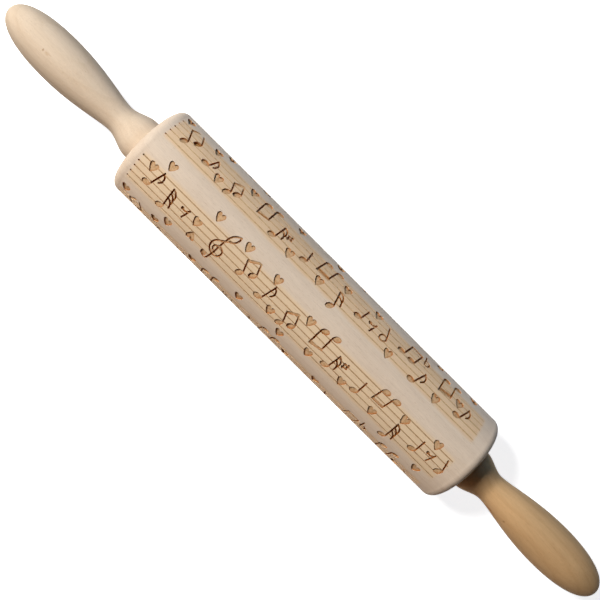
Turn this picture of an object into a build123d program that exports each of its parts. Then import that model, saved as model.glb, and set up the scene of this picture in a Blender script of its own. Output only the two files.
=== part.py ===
"""Engraved rolling pin: a beech barrel that turns on a steel axle between two turned handles.

The barrel's skin is engraved with staves of notes and hearts, which come out raised on the dough.
Units are millimetres. X runs along the axle, Z is up, and the origin is the middle of the barrel.
"""

import os
from math import atan2, cos, degrees, hypot, radians, sin, sqrt

from build123d import *

# Barrel
barrel_length = 232.0
barrel_diameter = 53.3
rim_rounding = 4.5
barrel_bore = 12.0
seam_turn = 38.92

# Sanding after the engraving, so that the pin lies on the narrow plain band at each end
sanded_depth = 0.05
sanded_slope = 0.8
end_band = 0.5

# Handles
handle_length = 98.4
collar_diameter = 24.2
collar_length = 5.0
collar_edge = 0.6
neck_diameter = 16.5
neck_reach = 19.4
belly_diameter = 26.3
belly_reach = 63.4
mouth_chamfer = 0.8

# Axle, with ring grooves that hold the glue inside the handles
rod_diameter = 8.0
rod_grip = 52.0
rod_chamfer = 0.8
glue_gap = 0.05
glue_room = 1.5
groove_width = 1.6
groove_depth = 0.4
groove_pitch = 12.0
groove_count = 3

# Flanged bushes in the barrel's ends
bush_diameter = 17.0
bush_length = 22.0
flange_diameter = 23.0
flange_thickness = 1.6
bush_edge = 0.4
running_gap = 0.05

# Thrust washers between the flanges and the collars
washer_diameter = 21.0
washer_thickness = 0.8
washer_slack = 0.2
end_float = 0.15

# Recess in each end of the barrel, round the flange and half of the washer
recess_depth = 2.1
recess_slack = 0.4

# Engraving: staves of five lines, with notes and hearts cut deeper
stave_length = 214.0
plain_band = 6.6
line_gap = 3.5
line_width = 0.6
line_depth = 0.2
carving_depth = 0.85
sign_depth = 1.2
cut_overrun = 1.5
start_dot = 0.9
repeats = 3
lines_in_stave = 5
upper_stave_angle = -38.6
lower_stave_angle = 24.2

# Notes
head_length = 4.6
head_height = 3.1
head_tilt = 20.0
ring_length = 5.2
ring_height = 4.5
ring_wall = 1.0
stroke_width = 0.95
stem_length = 8.0
short_stem = 7.2
long_stem = 9.9
longer_stem = 11.2
tall_stem = 12.0
beam_width = 1.4
heavy_beam = 2.4
pair_pitch = 6.9
small_pitch = 5.4
middle_pitch = 6.3
heavy_pitch = 7.5
flag_length = 5.0
flag_gap = 2.6
hooked_flag_drop = 1.0

# Hearts and signs
heart_width = 5.0
heart_height = 5.3
sharp_size = 3.4
rest_height = 6.4
flat_height = 6.6
clef_height = 21.5
clef_stroke = 1.0
clef_ball = 3.4
clef_turn = -14.0

# Shares that give the curves of a handle
neck_ease_share = 1 / 3
swell_start_share = 0.18
swell_end_share = 0.5
belly_run_share = 0.57
tip_round_share = 0.68

# Shares that give the outlines of the motifs
heart_shoulder_share = 0.14
heart_notch_share = 0.28
heart_lobe_share = 0.5
heart_side_shares = (0.6, -0.21)
stem_side_share = 0.44
head_join_share = 0.1
pair_rise_share = 0.19
steep_rise_share = 0.3
sharp_side_share = 0.26
sharp_lean_share = 0.1
flag_shares = ((0.56, -0.5), (0.58, -0.97))
hooked_flag_shares = ((0.52, -0.5), (0.34, -1.0))
rest_point_shares = ((-0.3, 0.16), (-0.02, 0.12), (0.32, 0.44), (0.04, -0.52))
flat_bowl_shares = ((0.0, -0.05), (0.42, -0.16), (0.0, -0.5))
clef_ball_shares = (-0.092, -0.489)
clef_arc_shares = (
    ((-0.092, -0.489), (-0.01, -0.56), (0.04, -0.48)),
    ((0.04, -0.48), (0.03, -0.28), (0.00, -0.07)),
    ((0.00, -0.07), (-0.025, 0.10), (-0.04, 0.28)),
    ((-0.04, 0.28), (0.01, 0.43), (0.11, 0.52)),
    ((0.11, 0.52), (0.13, 0.38), (0.03, 0.24)),
    ((0.03, 0.24), (-0.06, 0.13), (-0.16, 0.02)),
    ((-0.16, 0.02), (-0.16, -0.20), (0.01, -0.29)),
    ((0.01, -0.29), (0.14, -0.24), (0.17, -0.13)),
    ((0.17, -0.13), (0.07, -0.01), (-0.06, -0.07)),
    ((-0.06, -0.07), (-0.09, -0.14), (-0.03, -0.20)),
)

# Place of the clef in the lower stave
clef_along_share = 0.269
clef_gaps_up = 0.4

# Motifs of the upper stave: kind, share of the stave's length, line gaps above its middle line, turn
upper_stave_shares = (
    ("heart", 0.013, 3.2, 0),
    ("steep_pair", 0.039, -0.7, 23),
    ("heart", 0.110, 2.5, 0),
    ("small_eighth", 0.109, -0.8, -16),
    ("heart", 0.140, 4.3, 0),
    ("heart", 0.156, -1.3, 0),
    ("small_pair", 0.190, -1.7, 20),
    ("heart", 0.236, 1.73, 0),
    ("long_pair", 0.313, 2.6, 180),
    ("sixteenth_note", 0.331, -1.4, -6),
    ("sharp", 0.369, 0.3, 0),
    ("heart", 0.378, 3.6, 0),
    ("heart", 0.392, -1.7, 8),
    ("quarter_note", 0.424, -0.7, 5),
    ("heart", 0.485, -1.48, 0),
    ("heart", 0.505, 4.3, 0),
    ("heavy_pair", 0.515, 2.4, 170),
    ("sixteenth_note", 0.541, -2.9, 14),
    ("heart", 0.550, 1.0, 0),
    ("quarter_note", 0.605, -0.9, -12),
    ("heart", 0.645, 1.92, -8),
    ("rest", 0.647, -0.5, 0),
    ("half_note", 0.684, -0.55, 14),
    ("heart", 0.716, -1.94, 10),
    ("long_pair", 0.736, 0.3, -14),
    ("eighth_note", 0.794, -2.1, -20),
    ("flat", 0.800, 2.6, 0),
    ("heart", 0.869, -1.73, 0),
    ("heavy_pair", 0.907, 3.1, 180),
    ("heart", 0.924, 0.7, 0),
    ("eighth_note", 0.931, -1.0, -20),
    ("heart", 0.958, 4.25, 0),
)

# Motifs of the lower stave, in the same terms
lower_stave_shares = (
    ("heart", 0.035, 1.65, 0),
    ("tall_eighth", 0.043, -0.6, -16),
    ("heart", 0.067, 3.54, 0),
    ("three_flag_note", 0.099, -1.8, 4),
    ("rest", 0.156, 0.2, 0),
    ("heart", 0.192, 0.4, -8),
    ("heart", 0.202, -1.7, 180),
    ("heart", 0.223, 3.26, 0),
    ("heart", 0.319, 3.1, 0),
    ("pair", 0.340, -0.4, 20),
    ("tall_eighth", 0.407, -1.0, -12),
    ("heart", 0.417, 2.7, 0),
    ("heart", 0.452, -1.4, 0),
    ("middle_pair", 0.486, -1.7, 20),
    ("heart", 0.537, 1.8, 0),
    ("heart", 0.584, -2.05, 0),
    ("long_pair", 0.610, 2.7, 180),
    ("sixteenth_note", 0.629, -1.3, -6),
    ("sharp", 0.667, 0.82, 0),
    ("heart", 0.686, -1.5, 0),
    ("quarter_note", 0.720, -0.9, 0),
    ("heart", 0.785, -1.4, 0),
    ("pair", 0.810, 2.4, 170),
    ("three_flag_note", 0.843, -3.1, 3),
    ("heart", 0.852, 1.27, -10),
    ("quarter_note", 0.912, -1.0, 0),
    ("heart", 0.948, 2.1, 12),
    ("rest", 0.954, 0.1, 0),
    ("quarter_note", 0.993, -0.6, 18),
)

# Places worked out from the sizes above
barrel_radius = barrel_diameter / 2
barrel_end = barrel_length / 2
skin_radius = barrel_radius - sanded_depth
band_foot = barrel_end - rim_rounding - end_band
sanded_reach = band_foot - sanded_slope
flange_face = barrel_end - recess_depth + flange_thickness
washer_face = flange_face + end_float
collar_face = washer_face + washer_thickness + end_float
rod_end = collar_face + rod_grip
bush_foot = flange_face - bush_length
stave_start = plain_band - barrel_end
stave_middle = stave_start + stave_length / 2
turn_of_repeat = 360 / repeats
stave_turn = degrees(line_gap / skin_radius)


def skin_plane(along, angle, depth, turn=0.0, middle=(0.0, 0.0)):
    """Plane under the skin, square to the radius at a motif's middle.

    Its origin is the motif's own, its X runs along the barrel and its Y round it, both turned.
    """
    lift = Vector(*middle).rotate(Axis.Z, turn)
    round_angle = radians(angle - degrees(lift.Y / skin_radius))
    outward = Vector(0, -sin(round_angle), cos(round_angle))
    across = Vector(1, 0, 0).rotate(Axis((0, 0, 0), outward), turn)
    at_middle = Vector(along + lift.X, 0, 0) + outward * (skin_radius - depth)
    origin = at_middle - across * middle[0] - outward.cross(across) * middle[1]
    return Plane(origin=origin, x_dir=across, z_dir=outward)


def sag(reach):
    """Drop of the skin, at a distance round the barrel, below the plane that touches it."""
    return skin_radius - sqrt(skin_radius**2 - reach**2)


def end_plane(side, distance):
    """Plane across the axle at a distance from the middle, facing away from it."""
    return Plane(origin=(side * distance, 0, 0), x_dir=(0, 1, 0), z_dir=(side, 0, 0))


def stroke(start, end, width):
    """Straight stroke of one width between two points of the sketch."""
    run, rise = end[0] - start[0], end[1] - start[1]
    with Locations(((start[0] + end[0]) / 2, (start[1] + end[1]) / 2)):
        Rectangle(hypot(run, rise), width, rotation=degrees(atan2(rise, run)))


def curved_stroke(start, through, end, width):
    """Stroke of one width along an arc of the sketch."""
    with BuildLine() as route:
        ThreePointArc(start, through, end)
    trace(route.edges(), line_width=width)


def heart():
    half = heart_width / 2
    shoulder = (half, heart_shoulder_share * heart_height)
    side = (heart_side_shares[0] * half, heart_side_shares[1] * heart_height)
    lobe_top = (heart_lobe_share * half, heart_height / 2)
    with BuildLine() as rim:
        ThreePointArc((0, -heart_height / 2), side, shoulder)
        ThreePointArc(shoulder, lobe_top, (0, heart_notch_share * heart_height))
        mirror(about=Plane.YZ)
    make_face(rim.edges())


def head_and_stem(height, across=0.0, up=0.0):
    """Note head at a place of the sketch with a stem at its right; returns the stem's top."""
    with Locations((across, up)):
        Ellipse(head_length / 2, head_height / 2, rotation=head_tilt)
    stem_x = across + stem_side_share * head_length
    top = (stem_x, up + height)
    stroke((stem_x, up + head_join_share * head_height), top, stroke_width)
    return top


def flag(root, shares):
    """Curved flag that hangs from a point of a stem."""
    bulge, tip = (
        (root[0] + flag_length * across, root[1] + flag_length * up) for across, up in shares
    )
    curved_stroke(root, bulge, tip, stroke_width)


def flagged_note(height, count):
    """Note with curved flags that hang from the stem's top, one below the other."""
    top = head_and_stem(height)
    for number in range(count):
        flag((top[0], top[1] - stroke_width / 2 - number * flag_gap), flag_shares)


def hooked_note(height):
    """Note with one flag that hooks back under itself."""
    top = head_and_stem(height)
    flag((top[0], top[1] - hooked_flag_drop), hooked_flag_shares)


def beamed_pair(height, pitch, beam, rise_share=pair_rise_share):
    """Two notes under one beam, which rises to the right."""
    rise = rise_share * pitch
    left = head_and_stem(height)
    right = head_and_stem(height, pitch, rise)
    stroke((left[0], left[1] - beam / 2), (right[0], right[1] - beam / 2), beam)


def half_note():
    Ellipse(ring_length / 2, ring_height / 2, rotation=head_tilt)
    head_and_stem(stem_length)
    Ellipse(
        ring_length / 2 - ring_wall,
        ring_height / 2 - ring_wall,
        rotation=head_tilt,
        mode=Mode.SUBTRACT,
    )


def sharp():
    side = sharp_side_share * sharp_size
    lean = sharp_lean_share * sharp_size
    half = sharp_size / 2
    for way in (-1, 1):
        stroke((way * side, way * lean - half), (way * side, way * lean + half), stroke_width)
        stroke((-half, way * side - lean), (half, way * side + lean), stroke_width)


def rest():
    dot, bend, top, foot = (
        (rest_height * across, rest_height * up) for across, up in rest_point_shares
    )
    with Locations(dot):
        Circle(stroke_width)
    curved_stroke(dot, bend, top, stroke_width)
    stroke(top, foot, stroke_width)


def flat():
    half = flat_height / 2
    stroke((0, -half), (0, half), stroke_width)
    bowl = [(flat_height * across, flat_height * up) for across, up in flat_bowl_shares]
    curved_stroke(*bowl, stroke_width)


# Each motif's drawing and the height of its middle above its origin
motifs = {
    "heart": (heart, 0),
    "quarter_note": (lambda: head_and_stem(stem_length), stem_length / 2),
    "small_eighth": (lambda: hooked_note(stem_length), stem_length / 2),
    "eighth_note": (lambda: hooked_note(long_stem), long_stem / 2),
    "tall_eighth": (lambda: hooked_note(longer_stem), longer_stem / 2),
    "sixteenth_note": (lambda: flagged_note(long_stem, 2), long_stem / 2),
    "three_flag_note": (lambda: flagged_note(tall_stem, 3), tall_stem / 2),
    "half_note": (half_note, stem_length / 2),
    "pair": (lambda: beamed_pair(stem_length, pair_pitch, beam_width), stem_length / 2),
    "small_pair": (lambda: beamed_pair(short_stem, small_pitch, beam_width), short_stem / 2),
    "middle_pair": (lambda: beamed_pair(stem_length, middle_pitch, beam_width), stem_length / 2),
    "long_pair": (lambda: beamed_pair(long_stem, pair_pitch, beam_width), long_stem / 2),
    "steep_pair": (lambda: beamed_pair(long_stem, pair_pitch, beam_width, steep_rise_share), long_stem / 2),
    "heavy_pair": (lambda: beamed_pair(long_stem, heavy_pitch, heavy_beam), long_stem / 2),
    "sharp": (sharp, 0),
    "rest": (rest, 0),
    "flat": (flat, 0),
}
signs = ("sharp", "rest", "flat")
staves = ((upper_stave_angle, upper_stave_shares), (lower_stave_angle, lower_stave_shares))

# Notes, hearts and signs of one repeat, as the tool that cuts them
with BuildPart() as carving:
    for stave_angle, places in staves:
        for kind, along_share, gaps_up, turn in places:
            draw, middle_height = motifs[kind]
            along = stave_start + along_share * stave_length
            angle = stave_angle - gaps_up * stave_turn
            depth = (sign_depth if kind in signs else carving_depth) + sag(middle_height)
            with BuildSketch(skin_plane(along, angle, depth, turn, (0.0, middle_height))):
                draw()
        for line in range(lines_in_stave):
            angle = stave_angle + (line - (lines_in_stave - 1) / 2) * stave_turn
            with BuildSketch(skin_plane(stave_start, angle, carving_depth)):
                Circle(start_dot / 2)
    extrude(amount=sign_depth + cut_overrun, clean=False)

# The clef, cut stroke by stroke, each square to the skin under it
with BuildPart() as clef_carving:
    along = stave_start + clef_along_share * stave_length
    angle = lower_stave_angle - clef_gaps_up * stave_turn
    for arc in clef_arc_shares:
        start, through, end = ((clef_height * across, clef_height * up) for across, up in arc)
        depth = carving_depth + sag(hypot(end[0] - through[0], end[1] - through[1]))
        with BuildSketch(skin_plane(along, angle, depth, clef_turn, through)):
            curved_stroke(start, through, end, clef_stroke)
            with Locations(end):
                Circle(clef_stroke / 2)
    ball = (clef_height * clef_ball_shares[0], clef_height * clef_ball_shares[1])
    with BuildSketch(skin_plane(along, angle, carving_depth, clef_turn, ball)):
        with Locations(ball):
            Circle(clef_ball / 2)
    extrude(amount=carving_depth + cut_overrun, clean=False)

# Lines of the staves of one repeat
with BuildPart() as line_cuts:
    for stave_angle, places in staves:
        for line in range(lines_in_stave):
            angle = stave_angle + (line - (lines_in_stave - 1) / 2) * stave_turn
            with BuildSketch(skin_plane(stave_middle, angle, line_depth)):
                Rectangle(stave_length, line_width)
    extrude(amount=line_depth + cut_overrun, clean=False)

# Barrel, bored through, with a seat for a bush and a recess for its flange in each end
with BuildPart() as barrel:
    seam = Vector(0, 1, 0).rotate(Axis.X, seam_turn)
    with BuildSketch(Plane(origin=(0, 0, 0), x_dir=seam, z_dir=(1, 0, 0))):
        Circle(barrel_radius)
    extrude(amount=barrel_length / 2, both=True)
    rims = barrel.edges().filter_by(GeomType.CIRCLE).group_by(Axis.X)
    fillet(rims[0] + rims[-1], radius=rim_rounding)
    with BuildSketch(Plane(origin=(0, 0, 0), x_dir=(1, 0, 0), z_dir=Vector(1, 0, 0).cross(seam))):
        Polygon(
            (-band_foot, barrel_radius),
            (-sanded_reach, skin_radius),
            (sanded_reach, skin_radius),
            (band_foot, barrel_radius),
            (band_foot, barrel_radius + cut_overrun),
            (-band_foot, barrel_radius + cut_overrun),
            align=None,
        )
    revolve(axis=Axis.X, mode=Mode.SUBTRACT)
    with Locations(end_plane(1, barrel_end)):
        Hole(barrel_bore / 2)
    for side in (-1, 1):
        with Locations(end_plane(side, barrel_end)):
            CounterBoreHole(
                radius=bush_diameter / 2,
                counter_bore_radius=flange_diameter / 2 + recess_slack,
                counter_bore_depth=recess_depth,
                depth=barrel_end - bush_foot,
            )
    cuts = [
        tool.part.rotate(Axis.X, repeat * turn_of_repeat)
        for repeat in range(repeats)
        for tool in (line_cuts, carving, clef_carving)
    ]
    add(cuts, mode=Mode.SUBTRACT, clean=False)
barrel.part.label = "barrel"

# Axle rod, held by glue in both handles
with BuildPart() as axle_rod:
    with BuildSketch(Plane.YZ):
        Circle(rod_diameter / 2)
    extrude(amount=rod_end, both=True)
    for side in (-1, 1):
        for number in range(groove_count):
            groove_middle = rod_end - groove_pitch / 2 - number * groove_pitch
            with BuildSketch(end_plane(side, groove_middle - groove_width / 2)):
                Circle(rod_diameter / 2)
                Circle(rod_diameter / 2 - groove_depth, mode=Mode.SUBTRACT)
            extrude(amount=groove_width, mode=Mode.SUBTRACT)
    ends = axle_rod.edges().filter_by(GeomType.CIRCLE).group_by(Axis.X)
    chamfer(ends[0] + ends[-1], length=rod_chamfer)
axle_rod.part.label = "axle_rod"

# Right handle: collar, neck, belly and rounded tip, turned round the axle
with BuildPart() as right_handle:
    with BuildSketch(Plane.XY):
        with BuildLine():
            collar_x = collar_face + collar_length
            neck_x = collar_face + neck_reach
            belly_x = collar_face + belly_reach
            tip_x = collar_face + handle_length
            neck_ease = neck_ease_share * (neck_x - collar_x)
            swell = belly_x - neck_x
            face = Line((collar_face, 0), (collar_face, collar_diameter / 2))
            band = Line(face @ 1, (collar_x, collar_diameter / 2))
            hollow = Bezier(
                band @ 1,
                (collar_x + neck_ease, collar_diameter / 2),
                (neck_x - neck_ease, neck_diameter / 2),
                (neck_x, neck_diameter / 2),
            )
            rising = Bezier(
                hollow @ 1,
                (neck_x + swell_start_share * swell, neck_diameter / 2),
                (belly_x - swell_end_share * swell, belly_diameter / 2),
                (belly_x, belly_diameter / 2),
            )
            tip = Bezier(
                rising @ 1,
                (belly_x + belly_run_share * (tip_x - belly_x), belly_diameter / 2),
                (tip_x, tip_round_share * belly_diameter / 2),
                (tip_x, 0),
            )
            Line(tip @ 1, face @ 0)
        make_face()
    revolve(axis=Axis.X)
    collar_rim = right_handle.edges().filter_by(GeomType.CIRCLE).group_by(Axis.X)[0]
    fillet(collar_rim, radius=collar_edge)
    with BuildSketch(end_plane(1, collar_face)):
        Circle(rod_diameter / 2 + glue_gap)
    extrude(amount=rod_grip + glue_room, mode=Mode.SUBTRACT)
    mouth = right_handle.edges().filter_by(GeomType.CIRCLE).group_by(Axis.X)[0].sort_by(SortBy.RADIUS)[0]
    chamfer(mouth, length=mouth_chamfer)
right_handle.part.label = "right_handle"

with BuildPart() as left_handle:
    add(mirror(right_handle.part, about=Plane.YZ, mode=Mode.PRIVATE))
left_handle.part.label = "left_handle"

# Right bush: a sleeve pressed into the barrel, with a flange that bears on the washer
with BuildPart() as right_bush:
    with BuildSketch(end_plane(-1, -bush_foot)):
        Circle(bush_diameter / 2)
    extrude(amount=-bush_length)
    with BuildSketch(end_plane(1, flange_face)):
        Circle(flange_diameter / 2)
    extrude(amount=-flange_thickness)
    with Locations(end_plane(1, flange_face)):
        Hole(rod_diameter / 2 + running_gap)
    rims = right_bush.edges().filter_by(GeomType.CIRCLE).group_by(Axis.X)
    chamfer(rims[0], length=bush_edge)
    chamfer(rims[-1].sort_by(SortBy.RADIUS)[0], length=bush_edge)
right_bush.part.label = "right_bush"

with BuildPart() as left_bush:
    add(mirror(right_bush.part, about=Plane.YZ, mode=Mode.PRIVATE))
left_bush.part.label = "left_bush"

# Right thrust washer, loose on the rod between the flange and the collar
with BuildPart() as right_washer:
    with BuildSketch(end_plane(1, washer_face)):
        Circle(washer_diameter / 2)
        Circle(rod_diameter / 2 + washer_slack, mode=Mode.SUBTRACT)
    extrude(amount=washer_thickness)
right_washer.part.label = "right_washer"

with BuildPart() as left_washer:
    add(mirror(right_washer.part, about=Plane.YZ, mode=Mode.PRIVATE))
left_washer.part.label = "left_washer"

pieces = (barrel, axle_rod, left_handle, right_handle, left_bush, right_bush, left_washer, right_washer)
os.makedirs("parts", exist_ok=True)
for piece in pieces:
    export_step(piece.part, f"parts/{piece.part.label}.step", write_pcurves=False)
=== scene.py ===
import math

import bpy
from mathutils import Matrix, Vector

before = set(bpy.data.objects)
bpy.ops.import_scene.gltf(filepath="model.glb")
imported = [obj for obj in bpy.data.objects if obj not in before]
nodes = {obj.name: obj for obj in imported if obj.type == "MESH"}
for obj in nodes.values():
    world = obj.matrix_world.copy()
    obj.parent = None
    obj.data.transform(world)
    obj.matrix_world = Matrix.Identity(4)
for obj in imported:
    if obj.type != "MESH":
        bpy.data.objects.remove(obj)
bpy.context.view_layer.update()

# Barrel and its staves; angles run round the axle, from straight up towards -Y
BARREL_RADIUS = 0.02665
SKIN_RADIUS = 0.0266
SKIN_HALF_LENGTH = 0.1114
STAVE_ANGLES = (math.radians(-38.6), math.radians(24.2))
STAVE_TURN = math.radians(120.0)
STAVE_START = -0.1094
STAVE_END = 0.1046

# Depths under the skin between which each part of the engraving sets in
CUT_DEPTHS = (0.00007, 0.00014)
MOTIF_DEPTHS = (0.00024, 0.00032)
SIGN_DEPTHS = (0.00115, 0.00124)
# Walls darken between these depths: laser burn, partly painted shade
WALL_BURN_AND_SHADE_DEPTHS = (0.00018, 0.00060)
# Reach and openness over which the motif floors get painted shade near their walls
CORNER_SHADE_REACH = 0.0011
CORNER_SHADE_OPENNESS = (0.93, 0.48)

# Skin toasted by the laser in a band round each stave; painted light and shade along X, darker left of the
# middle and lighter towards both ends, is given as (start, end, low, high)
TOAST_HALF_ANGLE = math.radians(18.5)
TOAST_SOFT_ANGLE = math.radians(2.5)
TOAST_WANDER = math.radians(3.0)
TOAST_SOFT_END = 0.0012
TOAST_SHADES = ((0.965, 0.85, 0.67, 1.0), (0.99, 0.935, 0.79, 1.0))
PLAIN_SHADE = (0.94, 0.95, 0.955, 1.0)
BARREL_PAINTED_LIGHT = ((-0.05, 0.06, 0.97, 1.06), (-0.070, -0.112, 1.0, 1.08))

# Parts of a noise's range over which a fade runs, its middle value, and the fully dark share of a knot
NOISE_CORE = (0.3, 0.7)
NOISE_SPAN = (0.2, 0.8)
NOISE_MIDDLE = 0.5
KNOT_CORE = 0.3

# How the white table and the studio look, and what light they throw back
TABLE_SIZE = 6.0
TABLE_SEEN = (0.9, 0.9, 0.9, 1.0)
TABLE_BOUNCE = (0.36, 0.29, 0.19, 1.0)
TABLE_GLOW = 0.82
STUDIO_SEEN = 0.87
STUDIO_LIGHT = 0.02
WHITE = (1.0, 1.0, 1.0, 1.0)

# Photograph: camera over the pin, a little left of its middle; the lamps point at the barrel's middle
CAMERA_PLACE = Vector((-0.021, 0.0, 0.440))
CAMERA_LEAN = 0.0366
CAMERA_CLIP = 0.01
PIN_TURN = math.radians(44.89)
SENSOR = 36.0
LENS = 50.73
SHIFT = (-0.0013, -0.0022)
LAMP_AIM = Vector((0.0, 0.0, 0.0))


def put(tree, kind, inputs=(), **settings):
    """Adds a shader node, gives it its settings, then sets or links its inputs."""
    made = tree.nodes.new("ShaderNode" + kind)
    for name, value in settings.items():
        setattr(made, name, value)
    for socket, value in dict(inputs).items():
        if isinstance(value, bpy.types.NodeSocket):
            tree.links.new(value, made.inputs[socket])
        else:
            made.inputs[socket].default_value = value
    return made


def maths(tree, operation, *values, clamp=False):
    return put(tree, "Math", dict(enumerate(values)), operation=operation, use_clamp=clamp).outputs[0]


def vector_maths(tree, operation, *values, output="Vector"):
    return put(tree, "VectorMath", dict(enumerate(values)), operation=operation).outputs[output]


def fade(tree, value, start, end, low=0.0, high=1.0):
    """Runs smoothly from low to high as the value goes from start to end."""
    reach = {"Value": value, "From Min": start, "From Max": end, "To Min": low, "To Max": high}
    return put(tree, "MapRange", reach, interpolation_type="SMOOTHSTEP").outputs[0]


def tint(tree, share, first, second, blend="MIX"):
    """Mixes two colours, or lays the second over the first, by a share."""
    return put(tree, "Mix", {0: share, 6: first, 7: second}, data_type="RGBA", blend_type=blend).outputs[2]


def colour(red, green, blue):
    return (red, green, blue, 1.0)


def greyed(tree, painted, value):
    """Multiplies a colour by a plain value."""
    grey = put(tree, "CombineColor", {0: value, 1: value, 2: value}).outputs[0]
    return tint(tree, 1.0, painted, grey, "MULTIPLY")


def toned(tree, painted, place, painted_light_tones):
    """Paints light and shade: lightens or darkens a colour as a place runs from start to end;
    painted_light_tones are (start, end, low, high).
    """
    for start, end, low, high in painted_light_tones:
        painted = greyed(tree, painted, fade(tree, place, start, end, low, high))
    return painted


def stretched_noise(tree, place, stretch, **inputs):
    """Noise drawn out along the grain; gives its value."""
    drawn = vector_maths(tree, "MULTIPLY", place, stretch)
    return put(tree, "TexNoise", {"Vector": drawn, "Scale": 1.0, **inputs}).outputs[0]


def plain_noise(tree, place, scale, detail, output=0):
    return put(tree, "TexNoise", {"Vector": place, "Scale": scale, "Detail": detail}).outputs[output]


def new_group(name, inputs, outputs):
    """Shader node group with named sockets; gives its tree, its input node and its output node."""
    tree = bpy.data.node_groups.new(name, "ShaderNodeTree")
    for label, kind, default in inputs:
        socket = tree.interface.new_socket(label, in_out="INPUT", socket_type="NodeSocket" + kind)
        if default is not None:
            socket.default_value = default
    for label, kind in outputs:
        tree.interface.new_socket(label, in_out="OUTPUT", socket_type="NodeSocket" + kind)
    return tree, tree.nodes.new("NodeGroupInput"), tree.nodes.new("NodeGroupOutput")


def use_group(tree, group, **inputs):
    """Places a node group; an input's name is written with _ for each space."""
    made = tree.nodes.new("ShaderNodeGroup")
    made.node_tree = group
    for name, value in inputs.items():
        socket = made.inputs[name.replace("_", " ")]
        if isinstance(value, bpy.types.NodeSocket):
            tree.links.new(value, socket)
        else:
            socket.default_value = value
    return made.outputs


def make_grain():
    """Turned beech: year rings, streaks, soft patches, fine fibres and short dark flecks."""
    tree, given, result = new_group(
        "beech_grain",
        (
            ("Place", "Vector", None),
            ("Pale", "Color", colour(0.66, 0.53, 0.41)),
            ("Deep", "Color", colour(0.55, 0.40, 0.28)),
            ("Rings", "Float", 0.5),
            ("Streaks", "Float", 0.5),
            ("Flecks", "Float", 0.5),
            ("Ring Scale", "Float", 90.0),
        ),
        (("Color", "Color"), ("Height", "Float"), ("Gloss Loss", "Float")),
    )
    place = given.outputs["Place"]
    ring = put(
        tree,
        "TexWave",
        {
            "Vector": place,
            "Scale": given.outputs["Ring Scale"],
            "Distortion": 2.2,
            "Detail": 2.0,
            "Detail Scale": 0.35,
        },
        wave_type="RINGS",
        rings_direction="X",
        wave_profile="SAW",
    ).outputs["Fac"]
    late_wood = fade(tree, ring, 0.55, 1.0)
    streak = stretched_noise(tree, place, (26.0, 420.0, 420.0), Detail=3.0, Roughness=0.55)
    patch = stretched_noise(tree, place, (16.0, 34.0, 34.0), Detail=1.5)
    fibre = stretched_noise(tree, place, (150.0, 3600.0, 3600.0), Detail=2.0)
    fleck = stretched_noise(tree, place, (430.0, 4300.0, 4300.0), Detail=1.0)
    fleck_mask = fade(tree, fleck, 0.64, 0.72)

    # Rings, streaks and patches choose between the pale and the deep colour
    deep = maths(tree, "MULTIPLY", late_wood, given.outputs["Rings"])
    streak_share = maths(tree, "MULTIPLY", fade(tree, streak, 0.35, 0.75), given.outputs["Streaks"])
    deep = maths(tree, "ADD", deep, streak_share)
    deep = maths(tree, "ADD", deep, fade(tree, patch, 0.3, 0.75, 0.0, 0.35), clamp=True)
    base = tint(tree, deep, given.outputs["Pale"], given.outputs["Deep"])
    fleck_share = maths(tree, "MULTIPLY", fleck_mask, given.outputs["Flecks"])
    flecked = tint(tree, fleck_share, base, colour(0.62, 0.48, 0.36), "MULTIPLY")
    fibred = greyed(tree, flecked, fade(tree, fibre, *NOISE_SPAN, 0.94, 1.04))
    tree.links.new(fibred, result.inputs["Color"])

    # Fibres stand up, flecks lie low, and late wood and fibres are less smooth
    height = maths(tree, "SUBTRACT", fibre, maths(tree, "MULTIPLY", fleck_mask, 0.6))
    tree.links.new(height, result.inputs["Height"])
    fibre_loss = fade(tree, fibre, 0.3, 0.8, 0.0, 0.08)
    loss = maths(tree, "ADD", maths(tree, "MULTIPLY", late_wood, 0.05), fibre_loss)
    tree.links.new(loss, result.inputs["Gloss Loss"])
    return tree


GRAIN = make_grain()


def new_material(name):
    """Empty material; gives it and its tree."""
    made = bpy.data.materials.new(name)
    made.use_nodes = True
    made.node_tree.nodes.clear()
    return made, made.node_tree


def on_object(tree, wanted="Object"):
    """Place, or another coordinate, on the object itself, so that a pattern moves with its piece."""
    return put(tree, "TexCoord").outputs[wanted]


def finish_material(tree, inputs):
    surface = put(tree, "BsdfPrincipled", inputs)
    end = tree.nodes.new("ShaderNodeOutputMaterial")
    tree.links.new(surface.outputs[0], end.inputs["Surface"])


def bump_from(tree, height, strength, distance):
    return put(tree, "Bump", {"Strength": strength, "Distance": distance, "Height": height}).outputs[0]


def wear(node, material):
    """Gives a CAD node a finished material in all its slots."""
    for slot in nodes[node].material_slots:
        slot.material = material


def in_log(tree, place, centre, lean):
    """Place in the log that the piece was turned from, whose rings are centred beside the axle."""
    return put(tree, "Mapping", {"Vector": place, "Location": centre, "Rotation": lean}).outputs[0]


def away_from_axle(tree, split):
    """Unit vector that points straight away from the axle."""
    across = put(tree, "CombineXYZ", {1: split[1], 2: split[2]}).outputs[0]
    return vector_maths(tree, "NORMALIZE", across)


def height_of(tree, vector):
    return put(tree, "SeparateXYZ", {0: vector}).outputs[2]


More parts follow.
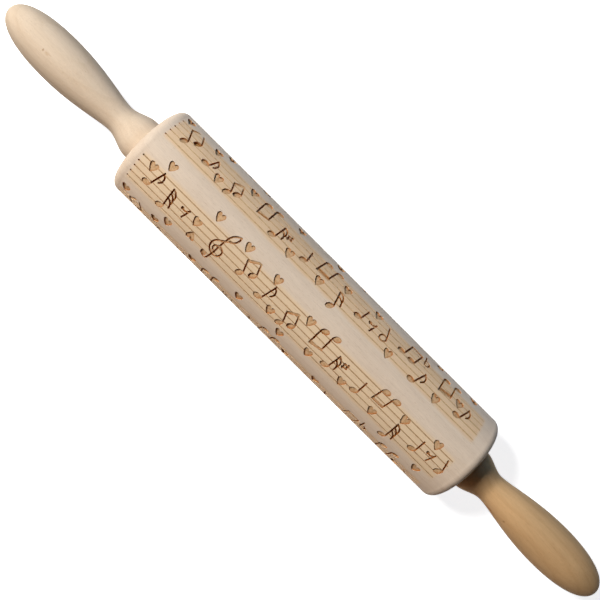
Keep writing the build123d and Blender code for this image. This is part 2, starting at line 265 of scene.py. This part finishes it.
def toasted_skin(tree, place, split, wood):
    """Wood of the skin, toasted round each stave; gives its colour and the bands, one for each stave."""
    around = maths(tree, "ARCTAN2", maths(tree, "MULTIPLY", split[1], -1.0), split[2])
    waver = stretched_noise(tree, place, (90.0, 160.0, 160.0), Detail=2.0)
    wander = maths(tree, "MULTIPLY", maths(tree, "SUBTRACT", waver, NOISE_MIDDLE), TOAST_WANDER)
    around = maths(tree, "ADD", around, wander)
    outer = TOAST_HALF_ANGLE + TOAST_SOFT_ANGLE
    inner = TOAST_HALF_ANGLE - TOAST_SOFT_ANGLE
    bands = []
    for angle in STAVE_ANGLES:
        offset = maths(tree, "SUBTRACT", around, angle)
        offset = maths(tree, "WRAP", offset, STAVE_TURN / 2, -STAVE_TURN / 2)
        bands.append(fade(tree, maths(tree, "ABSOLUTE", offset), outer, inner))
    started = fade(tree, split[0], STAVE_START - TOAST_SOFT_END, STAVE_START + TOAST_SOFT_END)
    ended = fade(tree, split[0], STAVE_END + TOAST_SOFT_END, STAVE_END - TOAST_SOFT_END)
    uneven = stretched_noise(tree, place, (70.0, 220.0, 220.0), Detail=3.0)
    strength = maths(tree, "MULTIPLY", started, ended)
    strength = maths(tree, "MULTIPLY", strength, fade(tree, uneven, *NOISE_SPAN, 0.8, 1.0))
    shade = PLAIN_SHADE
    for band, toast in zip(bands, TOAST_SHADES):
        shade = tint(tree, maths(tree, "MULTIPLY", band, strength), shade, toast)
    skin = tint(tree, 1.0, wood, shade, "MULTIPLY")
    # Painted light and shade along the barrel: darker left of the middle, lighter towards both ends
    return toned(tree, skin, split[0], BARREL_PAINTED_LIGHT), bands


def engraved_floor(tree, place, depth, motif, upper_band):
    """Floors of the cuts: tan lines, paler in the upper stave, motifs with painted shade in their corners,
    and brown where the small signs go deepest."""
    char = stretched_noise(tree, place, (900.0, 900.0, 900.0), Detail=2.0)
    charred = fade(tree, char, *NOISE_CORE)
    dark_line = tint(tree, charred, colour(0.47, 0.30, 0.165), colour(0.37, 0.225, 0.115))
    pale_line = tint(tree, charred, colour(0.58, 0.40, 0.23), colour(0.49, 0.32, 0.17))
    lines = tint(tree, upper_band, dark_line, pale_line)
    motif_char = fade(tree, char, 0.35, 0.75)
    motifs = tint(tree, motif_char, colour(0.60, 0.40, 0.225), colour(0.45, 0.26, 0.12))
    signs = tint(tree, charred, colour(0.46, 0.245, 0.085), colour(0.31, 0.145, 0.042))
    motifs = tint(tree, fade(tree, depth, *SIGN_DEPTHS), motifs, signs)
    # Painted shade: ambient occlusion darkens the motif floors in their corners and along their walls
    occlusion = put(tree, "AmbientOcclusion", {"Distance": CORNER_SHADE_REACH}, samples=4, only_local=True)
    painted_corner_shade = fade(tree, occlusion.outputs["AO"], *CORNER_SHADE_OPENNESS)
    motifs = tint(tree, painted_corner_shade, motifs, colour(0.71, 0.56, 0.44), "MULTIPLY")
    return tint(tree, motif, lines, motifs)


def barrel_wood():
    """Beech with a toasted skin, cut by the laser in fine steps."""
    made, tree = new_material("engraved_beech")
    place = on_object(tree)
    normal = on_object(tree, "Normal")
    split = put(tree, "SeparateXYZ", {0: place}).outputs
    grain = use_group(
        tree,
        GRAIN,
        Place=in_log(tree, place, (0.0, 0.031, 0.018), (0.0, 0.012, 0.02)),
        Pale=colour(0.75, 0.605, 0.47),
        Deep=colour(0.675, 0.525, 0.395),
        Rings=0.25,
        Streaks=0.3,
        Flecks=0.35,
        Ring_Scale=70.0,
    )

    # Depth under the skin tells the cuts, and a face that doesn't look away from the axle is a wall
    square_y = maths(tree, "MULTIPLY", split[1], split[1])
    square_z = maths(tree, "MULTIPLY", split[2], split[2])
    from_axle = maths(tree, "SQRT", maths(tree, "ADD", square_y, square_z))
    depth = maths(tree, "SUBTRACT", SKIN_RADIUS, from_axle)
    on_skin = maths(tree, "LESS_THAN", maths(tree, "ABSOLUTE", split[0]), SKIN_HALF_LENGTH)
    cut = maths(tree, "MULTIPLY", fade(tree, depth, *CUT_DEPTHS), on_skin)
    motif = maths(tree, "MULTIPLY", fade(tree, depth, *MOTIF_DEPTHS), on_skin)
    facing = vector_maths(tree, "DOT_PRODUCT", away_from_axle(tree, split), normal, output="Value")

    # Walls are burnt, and darker where deep, partly painted shade; they are paler where they face up with
    # the pin at rest, which is painted light
    wall_burn_and_painted_light = maths(tree, "MULTIPLY", cut, fade(tree, facing, 0.9, 0.6))
    wall_burn_and_painted_light = maths(tree, "MULTIPLY", wall_burn_and_painted_light, fade(tree, depth, *WALL_BURN_AND_SHADE_DEPTHS, 0.45, 1.0))
    wall_burn_and_painted_light = maths(tree, "MULTIPLY", wall_burn_and_painted_light, fade(tree, height_of(tree, normal), 0.25, 0.75, 1.0, 0.25))
    step = stretched_noise(tree, place, (5200.0, 1400.0, 1400.0), Detail=1.0)
    burnt_and_shaded_wall_colour = tint(tree, fade(tree, step, *NOISE_CORE), colour(0.58, 0.205, 0.040), colour(0.38, 0.116, 0.019))

    skin, bands = toasted_skin(tree, place, split, grain["Color"])
    floor = engraved_floor(tree, place, depth, motif, bands[0])
    painted = tint(tree, cut, skin, tint(tree, wall_burn_and_painted_light, floor, burnt_and_shaded_wall_colour))
    rough = maths(tree, "ADD", grain["Gloss Loss"], maths(tree, "MULTIPLY", cut, 0.3))
    relief = maths(tree, "ADD", grain["Height"], maths(tree, "MULTIPLY", step, motif))
    finish_material(
        tree,
        {
            "Base Color": painted,
            "Roughness": maths(tree, "ADD", rough, 0.5),
            "Normal": bump_from(tree, relief, 0.25, 0.00008),
            "Specular IOR Level": 0.1,
        },
    )
    return made


def handle_wood(name, pale, deep, log_centre, marks, painted_light_tones, painted_flank_shade):
    """Sanded beech of one handle; marks are (centre, stretch, size, colour) of its knots and streaks."""
    made, tree = new_material(name)
    place = on_object(tree)
    split = put(tree, "SeparateXYZ", {0: place}).outputs
    grain = use_group(
        tree,
        GRAIN,
        Place=in_log(tree, place, log_centre, (0.0, 0.05, 0.03)),
        Pale=pale,
        Deep=deep,
        Rings=0.24,
        Streaks=0.3,
        Flecks=0.35,
        Ring_Scale=80.0,
    )
    painted = grain["Color"]

    # Knots and streaks with ragged edges
    ragged = plain_noise(tree, place, 420.0, 2.0, "Color")
    ragged = vector_maths(tree, "SUBTRACT", ragged, (NOISE_MIDDLE, NOISE_MIDDLE, NOISE_MIDDLE))
    ragged = vector_maths(tree, "MULTIPLY", ragged, (0.0022, 0.0012, 0.0012))
    wandering = vector_maths(tree, "ADD", place, ragged)
    for centre, stretch, size, stain in marks:
        away = vector_maths(tree, "MULTIPLY", vector_maths(tree, "SUBTRACT", wandering, centre), stretch)
        distance = vector_maths(tree, "LENGTH", away, output="Value")
        painted = tint(tree, fade(tree, distance, size, size * KNOT_CORE), painted, stain, "MULTIPLY")

    # Painted light and shade along the handle, then painted shade that darkens its flanks and underside
    # against its top
    painted = toned(tree, painted, split[0], painted_light_tones)
    painted = toned(tree, painted, height_of(tree, away_from_axle(tree, split)), painted_flank_shade)
    finish_material(
        tree,
        {
            "Base Color": painted,
            "Roughness": maths(tree, "ADD", grain["Gloss Loss"], 0.55),
            "Normal": bump_from(tree, grain["Height"], 0.2, 0.00006),
            "Specular IOR Level": 0.12,
        },
    )
    return made


def drawn_steel(name, stretch):
    """Bright steel with fine drawing or turning marks."""
    made, tree = new_material(name)
    place = on_object(tree)
    marks = stretched_noise(tree, place, stretch, Detail=3.0)
    smear = fade(tree, plain_noise(tree, place, 120.0, 2.0), *NOISE_CORE)
    finish_material(
        tree,
        {
            "Base Color": tint(tree, smear, colour(0.60, 0.60, 0.61), colour(0.50, 0.50, 0.52)),
            "Metallic": 1.0,
            "Roughness": fade(tree, marks, *NOISE_SPAN, 0.24, 0.4),
            "Normal": bump_from(tree, marks, 0.2, 0.00003),
        },
    )
    return made


def moulded_nylon():
    """Off-white nylon with a faint cloudiness and a fine matt skin."""
    made, tree = new_material("moulded_nylon")
    place = on_object(tree)
    cloud = fade(tree, plain_noise(tree, place, 260.0, 2.0), *NOISE_CORE)
    fine = plain_noise(tree, place, 5200.0, 1.0)
    finish_material(
        tree,
        {
            "Base Color": tint(tree, cloud, colour(0.80, 0.78, 0.72), colour(0.74, 0.72, 0.66)),
            "Roughness": fade(tree, fine, *NOISE_SPAN, 0.45, 0.6),
            "Normal": bump_from(tree, fine, 0.15, 0.00004),
        },
    )
    return made


def dress_pin():
    """Gives each piece of the pin its material."""
    wear("barrel", barrel_wood())
    pale_beech = handle_wood(
        "pale_handle_beech",
        pale=colour(0.67, 0.54, 0.405),
        deep=colour(0.58, 0.44, 0.305),
        log_centre=(0.0, 0.022, 0.012),
        marks=(
            ((-0.1837, -0.0026, 0.0125), (1.0, 1.0, 1.0), 0.0011, colour(0.62, 0.48, 0.38)),
            ((-0.1809, -0.0027, 0.0127), (1.0, 1.6, 1.6), 0.0022, colour(0.90, 0.84, 0.78)),
        ),
        # Painted light: lighter on the collar next to the barrel
        painted_light_tones=((-0.134, -0.126, 1.0, 1.06),),
        # Painted shade: flanks and underside darker than the top
        painted_flank_shade=((0.4, 1.0, 0.77, 1.02),),
    )
    golden_beech = handle_wood(
        "golden_handle_beech",
        pale=colour(0.66, 0.425, 0.215),
        deep=colour(0.55, 0.325, 0.15),
        log_centre=(0.0, -0.020, 0.015),
        marks=(
            ((0.1513, -0.0072, 0.0067), (1.0, 1.0, 1.0), 0.0012, colour(0.50, 0.38, 0.28)),
            ((0.1440, -0.0080, 0.0030), (0.35, 1.4, 1.4), 0.0022, colour(0.62, 0.44, 0.32)),
        ),
        # Painted light from the shoulder to the barrel, painted shade towards the tip, and the barrel's
        # shadow painted on the collar
        painted_light_tones=((0.165, 0.142, 1.0, 1.12), (0.190, 0.206, 1.0, 0.82), (0.1245, 0.1195, 1.0, 0.62)),
        # Painted shade: flanks and underside darker than the top
        painted_flank_shade=((0.4, 1.0, 0.88, 1.02),),
    )
    wear("left_handle", pale_beech)
    wear("right_handle", golden_beech)
    wear("axle_rod", drawn_steel("drawn_steel", (180.0, 5200.0, 5200.0)))
    turned_steel = drawn_steel("turned_washer_steel", (900.0, 2600.0, 2600.0))
    nylon = moulded_nylon()
    for side in ("left", "right"):
        wear(side + "_washer", turned_steel)
        wear(side + "_bush", nylon)


def seen_share(tree):
    """1 for what the camera sees, also in a gloss or through glass, and 0 for what only gives light."""
    ray = put(tree, "LightPath").outputs
    seen = maths(tree, "MAXIMUM", ray["Is Camera Ray"], ray["Is Glossy Ray"])
    return maths(tree, "MAXIMUM", seen, ray["Is Transmission Ray"])


def make_floor():
    """White table under the pin, plain white to the camera but for the pin's own shadow."""
    bpy.ops.object.select_all(action="DESELECT")
    bpy.ops.mesh.primitive_plane_add(size=TABLE_SIZE, location=(0.0, 0.0, -BARREL_RADIUS))
    floor = bpy.context.object
    floor.name = "table"
    made, tree = new_material("white_table")
    seen = seen_share(tree)
    finish_material(
        tree,
        {
            "Base Color": tint(tree, seen, TABLE_BOUNCE, TABLE_SEEN),
            "Roughness": 0.9,
            "Specular IOR Level": 0.0,
            "Emission Color": WHITE,
            "Emission Strength": maths(tree, "MULTIPLY", seen, TABLE_GLOW),
        },
    )
    floor.data.materials.append(made)


def make_world():
    """White studio that hardly lights the pin itself."""
    world = bpy.data.worlds.new("studio")
    world.use_nodes = True
    tree = world.node_tree
    tree.nodes.clear()
    strength = fade(tree, seen_share(tree), 0.0, 1.0, STUDIO_LIGHT, STUDIO_SEEN)
    sky = put(tree, "Background", {"Color": WHITE, "Strength": strength})
    end = tree.nodes.new("ShaderNodeOutputWorld")
    tree.links.new(sky.outputs[0], end.inputs["Surface"])
    bpy.context.scene.world = world


def make_light(name, place, size, power, shade):
    """Soft round lamp that points at the barrel."""
    lamp = bpy.data.lights.new(name, "AREA")
    lamp.shape = "DISK"
    lamp.size = size
    lamp.energy = power
    lamp.color = shade
    holder = bpy.data.objects.new(name, lamp)
    holder.location = place
    holder.rotation_euler = (LAMP_AIM - Vector(place)).to_track_quat("-Z", "Y").to_euler()
    bpy.context.scene.collection.objects.link(holder)


def make_camera():
    """Looks down on the pin as the photograph does, with the axle across the picture's diagonal."""
    look = Vector((math.sin(CAMERA_LEAN), 0.0, -math.cos(CAMERA_LEAN)))
    pin = Vector((math.cos(CAMERA_LEAN), 0.0, math.sin(CAMERA_LEAN)))
    across = Vector((0.0, 1.0, 0.0))
    right = pin * math.cos(PIN_TURN) + across * math.sin(PIN_TURN)
    up = across * math.cos(PIN_TURN) - pin * math.sin(PIN_TURN)
    lens = bpy.data.cameras.new("photo_camera")
    lens.sensor_width = SENSOR
    lens.lens = LENS
    lens.shift_x, lens.shift_y = SHIFT
    lens.clip_start = CAMERA_CLIP
    holder = bpy.data.objects.new("photo_camera", lens)
    turn = Matrix((right, up, -look)).transposed().to_4x4()
    holder.matrix_world = Matrix.Translation(CAMERA_PLACE) @ turn
    bpy.context.scene.collection.objects.link(holder)
    bpy.context.scene.camera = holder


dress_pin()
make_floor()
make_world()
make_light("key_light", (-0.755, 0.0, 0.935), size=0.32, power=16.3, shade=(1.0, 0.985, 0.965))
make_light("warm_fill", (-0.10, -0.80, 0.16), size=0.34, power=0.36, shade=(1.0, 0.30, 0.02))
make_light("cool_fill", (-0.10, 0.80, 0.16), size=0.34, power=1.08, shade=(0.04, 0.42, 1.0))
make_camera()

bpy.context.scene.view_settings.view_transform = "Standard"
